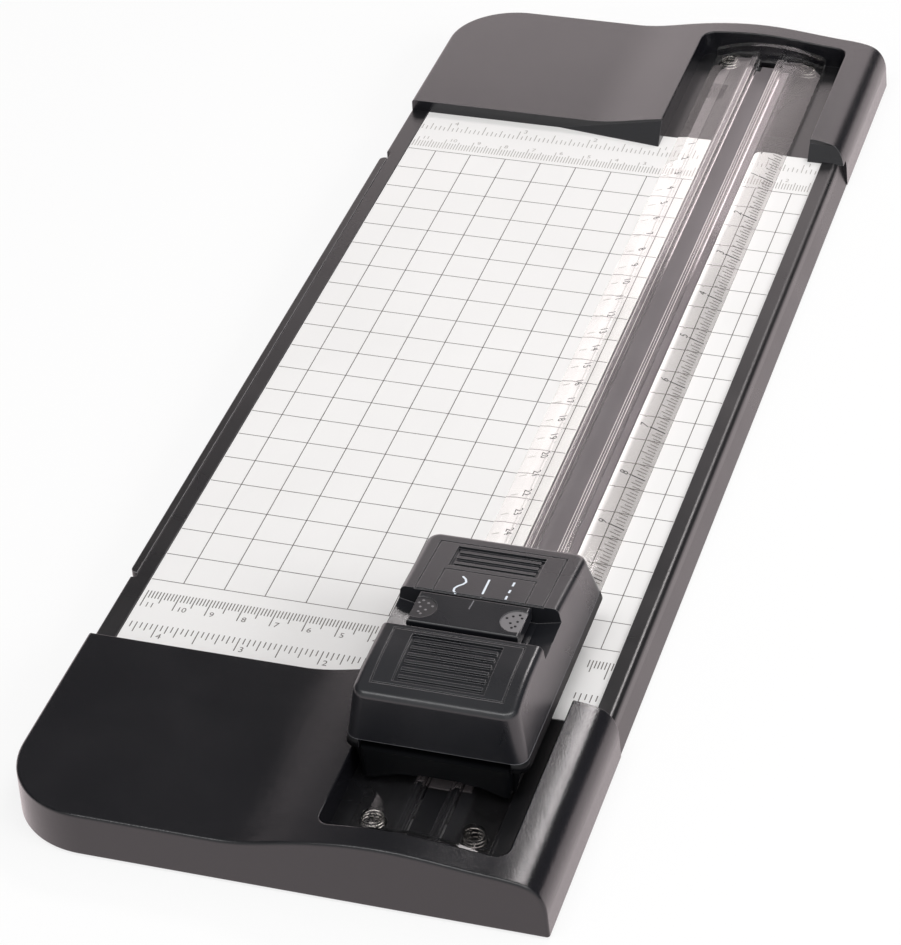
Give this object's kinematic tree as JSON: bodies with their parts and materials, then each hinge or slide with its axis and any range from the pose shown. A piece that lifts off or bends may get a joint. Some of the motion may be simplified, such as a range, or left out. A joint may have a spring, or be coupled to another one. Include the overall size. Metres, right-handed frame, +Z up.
{
  "type": "rotary paper trimmer",
  "caption": "Desk paper trimmer: printed board with end caps, clear guide, sliding cutter head that presses down, blade selector, and a pull-out side ruler.",
  "frame": {"origin": "on the table, at the middle of the footprint", "axes": "+X across the board to the cutting side, +Y along the cut from the front cap to the rear cap, +Z up"},
  "size_m": [0.1588, 0.4588, 0.0426],
  "materials": {
    "cap_plastic": "satin black moulded plastic",
    "board_plastic": "fine-textured grey moulded plastic",
    "sheet": "white sheet printed with grey lines",
    "mat": "grey cutting mat",
    "clear_plastic": "clear moulded plastic",
    "head_plastic": "satin black moulded plastic",
    "ruler_plastic": "dark grey moulded plastic",
    "steel": "bright steel",
    "spring_steel": "polished spring wire",
    "rubber": "soft black rubber"
  },
  "bodies": {
    "base": {"base_tray": "board_plastic", "bottom_cover": "board_plastic", "bottom_screws": "steel", "cap_screws": "steel", "rubber_feet": "rubber", "front_cap": "cap_plastic", "rear_cap": "cap_plastic", "sheet_left": "sheet", "sheet_right": "sheet", "cutting_mat": "mat", "guide_springs": "spring_steel"},
    "ruler": {"side_ruler": "ruler_plastic"},
    "guide": {"clear_guide": "clear_plastic", "guide_screws": "steel"},
    "carriage": {"carriage": "head_plastic", "cover_springs": "spring_steel", "straight_spring": "spring_steel", "wave_spring": "spring_steel", "perforating_spring": "spring_steel"},
    "cover": {"head_cover": "head_plastic", "cover_screws": "steel"},
    "selector": {"blade_selector": "head_plastic"},
    "straight_plunger": {"straight_holder": "ruler_plastic", "straight_axle": "steel"},
    "straight_wheel": {"straight_blade": "steel"},
    "wave_plunger": {"wave_holder": "ruler_plastic", "wave_axle": "steel"},
    "wave_wheel": {"wave_blade": "steel"},
    "perforating_plunger": {"perforating_holder": "ruler_plastic", "perforating_axle": "steel"},
    "perforating_wheel": {"perforating_blade": "steel"}
  },
  "joints": [
    {"name": "ruler_slide", "type": "slide", "parent": "base", "child": "ruler", "axis": [-1, 0, 0], "range_m": [0, 0.0825]},
    {"name": "guide_press", "type": "slide", "parent": "base", "child": "guide", "axis": [0, 0, -1], "range_m": [0, 0.0006], "stiffness_N_per_m": 2500, "springref_m": -0.0015, "deforming": ["guide_springs"]},
    {"name": "head_slide", "type": "slide", "parent": "guide", "child": "carriage", "axis": [0, 1, 0], "range_m": [-0.022, 0.326]},
    {"name": "head_press", "type": "slide", "parent": "carriage", "child": "cover", "axis": [0, 0, -1], "range_m": [0, 0.002], "stiffness_N_per_m": 1500, "springref_m": -0.0015, "deforming": ["cover_springs"]},
    {"name": "selector_slide", "type": "slide", "parent": "cover", "child": "selector", "axis": [1, 0, 0], "range_m": [-0.0071, 0.0071]},
    {"name": "straight_press", "type": "slide", "parent": "carriage", "child": "straight_plunger", "axis": [0, 0, -1], "range_m": [0, 0.002], "stiffness_N_per_m": 400, "springref_m": -0.001, "deforming": ["straight_spring"]},
    {"name": "straight_spin", "type": "hinge", "parent": "straight_plunger", "child": "straight_wheel", "pos_m": [0.03875, -0.1541, 0.02125], "axis": [1, 0, 0], "continuous": true},
    {"name": "wave_press", "type": "slide", "parent": "carriage", "child": "wave_plunger", "axis": [0, 0, -1], "range_m": [0, 0.002], "stiffness_N_per_m": 400, "springref_m": -0.001, "deforming": ["wave_spring"]},
    {"name": "wave_spin", "type": "hinge", "parent": "wave_plunger", "child": "wave_wheel", "pos_m": [0.03875, -0.1371, 0.02125], "axis": [1, 0, 0], "continuous": true},
    {"name": "perforating_press", "type": "slide", "parent": "carriage", "child": "perforating_plunger", "axis": [0, 0, -1], "range_m": [0, 0.002], "stiffness_N_per_m": 400, "springref_m": -0.001, "deforming": ["perforating_spring"]},
    {"name": "perforating_spin", "type": "hinge", "parent": "perforating_plunger", "child": "perforating_wheel", "pos_m": [0.03875, -0.1711, 0.02125], "axis": [1, 0, 0], "continuous": true}
  ],
  "couplings": [
    {"joint": "straight_press", "follows": "head_press", "ratio": 1}
  ]
}
